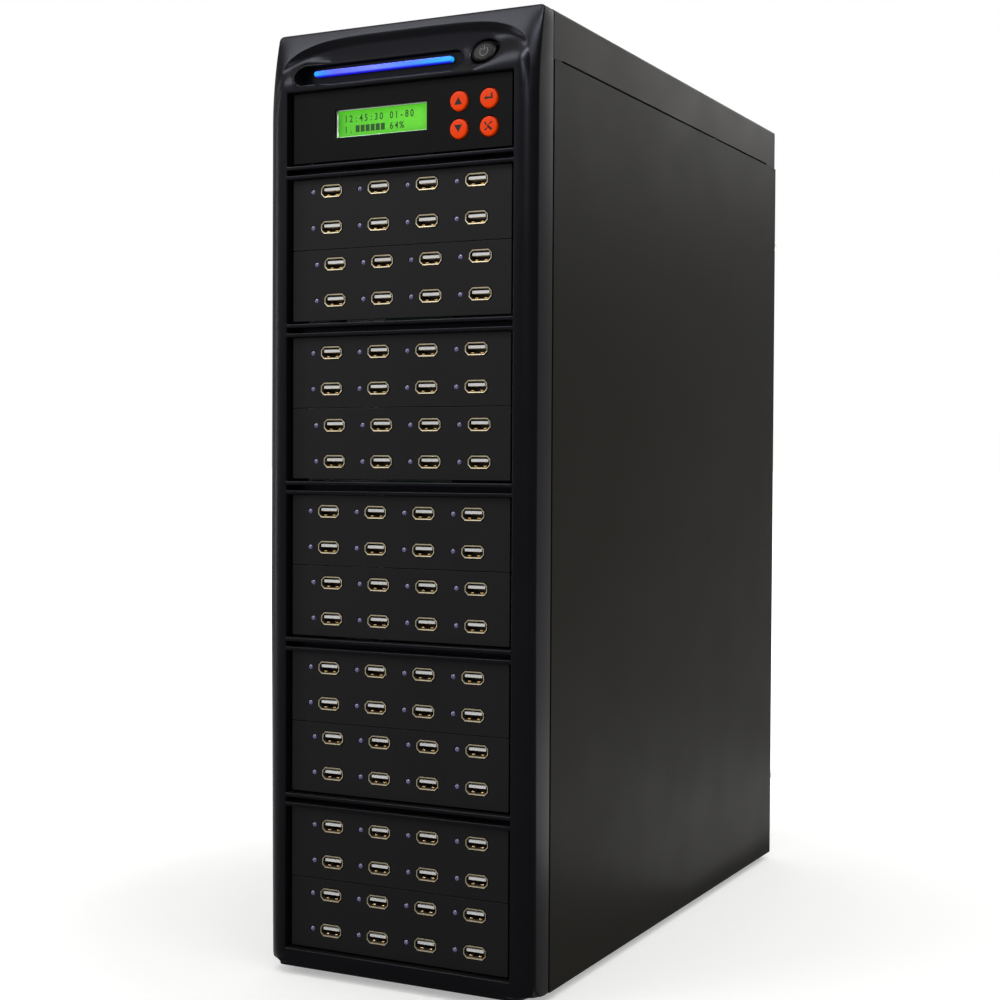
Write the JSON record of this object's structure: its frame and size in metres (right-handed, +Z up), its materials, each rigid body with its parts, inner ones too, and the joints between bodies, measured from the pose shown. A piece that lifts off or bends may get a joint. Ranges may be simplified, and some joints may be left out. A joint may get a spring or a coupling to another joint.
{
  "type": "usb flash drive duplicator",
  "caption": "Tall tower duplicator for flash drives: steel case, moulded front bezel, rows of USB sockets with status lamps, display, round keys and power button.",
  "frame": {"origin": "middle of the footprint's bounding box, on the surface that the feet stand on", "axes": "+Z up, the front with the sockets faces -Y, +X to the right seen from the front"},
  "size_m": [0.178, 0.4384, 0.566],
  "materials": {
    "powder_coat": "satin",
    "bare_steel": "satin",
    "moulded_black": "satin",
    "panel_black": "matte",
    "display_green": "lit green liquid crystal display",
    "circuit_green": "solder mask",
    "key_orange": "satin",
    "light_blue": "lit clear plastic",
    "socket_metal": "plated",
    "fan_black": "matte",
    "bright_wire": "bright",
    "soft_rubber": "matte",
    "nickel": "satin"
  },
  "bodies": {
    "case": {"base_pan": "powder_coat", "front_plate": "bare_steel", "rear_panel": "powder_coat", "cage_rail_right": "bare_steel", "cage_rail_left": "bare_steel", "top_cover": "powder_coat", "front_bezel": "moulded_black", "foot_front_left": "soft_rubber", "foot_front_right": "soft_rubber", "foot_rear_left": "soft_rubber", "foot_rear_right": "soft_rubber", "control_plate": "panel_black", "display_module": "display_green", "keypad_board": "circuit_green", "controller_board": "circuit_green", "light_bar": "light_blue", "power_switch": "moulded_black", "port_panel_01": "panel_black", "port_panel_02": "panel_black", "port_panel_03": "panel_black", "port_panel_04": "panel_black", "port_panel_05": "panel_black", "port_panel_06": "panel_black", "port_panel_07": "panel_black", "port_panel_08": "panel_black", "port_panel_09": "panel_black", "port_panel_10": "panel_black", "port_board_01": "socket_metal", "port_board_02": "socket_metal", "port_board_03": "socket_metal", "port_board_04": "socket_metal", "port_board_05": "socket_metal", "port_board_06": "socket_metal", "port_board_07": "socket_metal", "port_board_08": "socket_metal", "port_board_09": "socket_metal", "port_board_10": "socket_metal", "bus_board": "circuit_green", "power_lead": "soft_rubber", "supply_case": "bare_steel", "mains_inlet": "moulded_black", "lower_fan_frame": "fan_black", "lower_fan_guard": "bright_wire", "upper_fan_frame": "fan_black", "upper_fan_guard": "bright_wire"},
    "right_side": {"right_side_panel": "powder_coat", "thumbscrew_right_lower": "nickel", "thumbscrew_right_upper": "nickel"},
    "left_side": {"left_side_panel": "powder_coat", "thumbscrew_left_lower": "nickel", "thumbscrew_left_upper": "nickel"},
    "power_push": {"power_button": "moulded_black"},
    "up_push": {"up_key": "key_orange"},
    "down_push": {"down_key": "key_orange"},
    "enter_push": {"enter_key": "key_orange"},
    "escape_push": {"escape_key": "key_orange"},
    "mains_rocker": {"rocker": "moulded_black"},
    "supply_rotor": {"supply_fan_rotor": "fan_black"},
    "lower_rotor": {"lower_fan_rotor": "fan_black"},
    "upper_rotor": {"upper_fan_rotor": "fan_black"}
  },
  "joints": [
    {"name": "right_side_slide", "type": "slide", "parent": "case", "child": "right_side", "axis": [0, 1, 0], "range_m": [0, 0.02]},
    {"name": "left_side_slide", "type": "slide", "parent": "case", "child": "left_side", "axis": [0, 1, 0], "range_m": [0, 0.02]},
    {"name": "power_press", "type": "slide", "parent": "case", "child": "power_push", "axis": [0, 1, 0], "range_m": [0, 0.002], "stiffness_N_per_m": 400, "springref_m": -0.001},
    {"name": "up_press", "type": "slide", "parent": "case", "child": "up_push", "axis": [0, 1, 0], "range_m": [0, 0.0015], "stiffness_N_per_m": 400, "springref_m": -0.001},
    {"name": "down_press", "type": "slide", "parent": "case", "child": "down_push", "axis": [0, 1, 0], "range_m": [0, 0.0015], "stiffness_N_per_m": 400, "springref_m": -0.001},
    {"name": "enter_press", "type": "slide", "parent": "case", "child": "enter_push", "axis": [0, 1, 0], "range_m": [0, 0.0015], "stiffness_N_per_m": 400, "springref_m": -0.001},
    {"name": "escape_press", "type": "slide", "parent": "case", "child": "escape_push", "axis": [0, 1, 0], "range_m": [0, 0.0015], "stiffness_N_per_m": 400, "springref_m": -0.001},
    {"name": "rocker_swing", "type": "hinge", "parent": "case", "child": "mains_rocker", "pos_m": [0.044, 0.2053, 0.0313], "axis": [1, 0, 0], "range_deg": [0, 12]},
    {"name": "supply_fan_spin", "type": "hinge", "parent": "case", "child": "supply_rotor", "pos_m": [-0.028, 0.1963, 0.0493], "axis": [0, 1, 0], "continuous": true},
    {"name": "lower_fan_spin", "type": "hinge", "parent": "case", "child": "lower_rotor", "pos_m": [0, 0.1963, 0.1803], "axis": [0, 1, 0], "continuous": true},
    {"name": "upper_fan_spin", "type": "hinge", "parent": "case", "child": "upper_rotor", "pos_m": [0, 0.1963, 0.2903], "axis": [0, 1, 0], "continuous": true}
  ]
}
